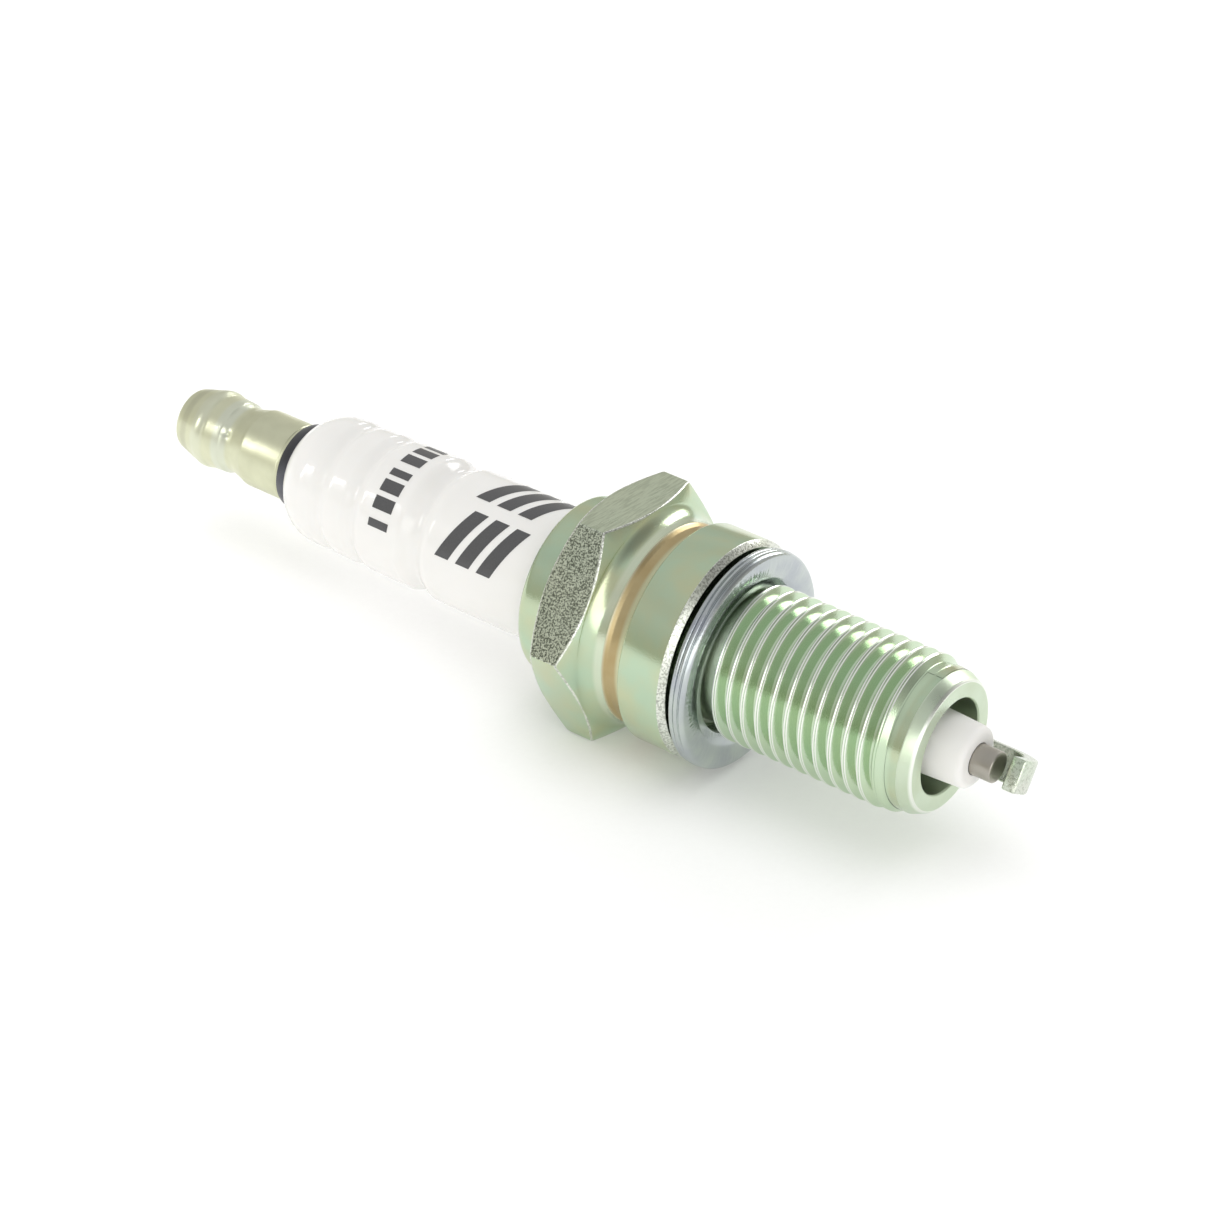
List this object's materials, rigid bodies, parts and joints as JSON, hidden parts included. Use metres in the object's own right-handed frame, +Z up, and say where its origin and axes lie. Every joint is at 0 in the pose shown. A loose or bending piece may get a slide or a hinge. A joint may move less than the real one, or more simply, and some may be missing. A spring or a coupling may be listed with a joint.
{
  "type": "spark plug",
  "caption": "M12 long-reach spark plug with an 18 mm hexagon, ribbed white insulator, loose crush gasket, screw-on terminal nut and bent ground strap.",
  "frame": {"origin": "on the plug's axis, in the plane of the shell's flange face that the gasket is squeezed against", "axes": "+X along the axis towards the firing end, -X towards the terminal, +Z up with the plug lying on one flat of its hexagon, +Y to the side"},
  "size_m": [0.0778, 0.0208, 0.018],
  "materials": {
    "shell_plating": "zinc plated, bright to satin, with a faint green passivation tint",
    "strap_plating": "nickel alloy with a satin plated skin",
    "gasket_steel": "folded thin steel, bluish zinc plate",
    "alumina_glaze": "white alumina, clear glazed behind the shell, bare on the nose",
    "nickel_alloy": "grey nickel alloy, satin",
    "copper": "drawn copper",
    "seal_glass": "fused conductive glass with metal powder",
    "resistor_mass": "fused resistor mass",
    "stud_steel": "dark phosphated steel",
    "nut_plating": "plated steel with a yellow-olive tint",
    "washer_steel": "plain thin steel",
    "ring_wire": "plain steel wire",
    "talc": "pressed white powder"
  },
  "bodies": {
    "plug": {"shell": "shell_plating", "ground_electrode": "strap_plating", "insulator": "alumina_glaze", "centre_electrode": "nickel_alloy", "copper_core": "copper", "front_glass_seal": "seal_glass", "resistor": "resistor_mass", "rear_glass_seal": "seal_glass", "terminal_stud": "stud_steel", "seat_washer": "washer_steel", "front_packing_ring": "ring_wire", "talc_filling": "talc", "rear_packing_ring": "ring_wire"},
    "gasket": {"gasket": "gasket_steel"},
    "terminal_nut": {"terminal_nut": "nut_plating"}
  },
  "joints": [
    {"name": "gasket_play", "type": "slide", "parent": "plug", "child": "gasket", "axis": [1, 0, 0], "range_m": [-0.00043, 0.00028]},
    {"name": "terminal_nut_off", "type": "slide", "parent": "plug", "child": "terminal_nut", "axis": [-1, 0, 0], "range_m": [0, 0.0105]}
  ]
}
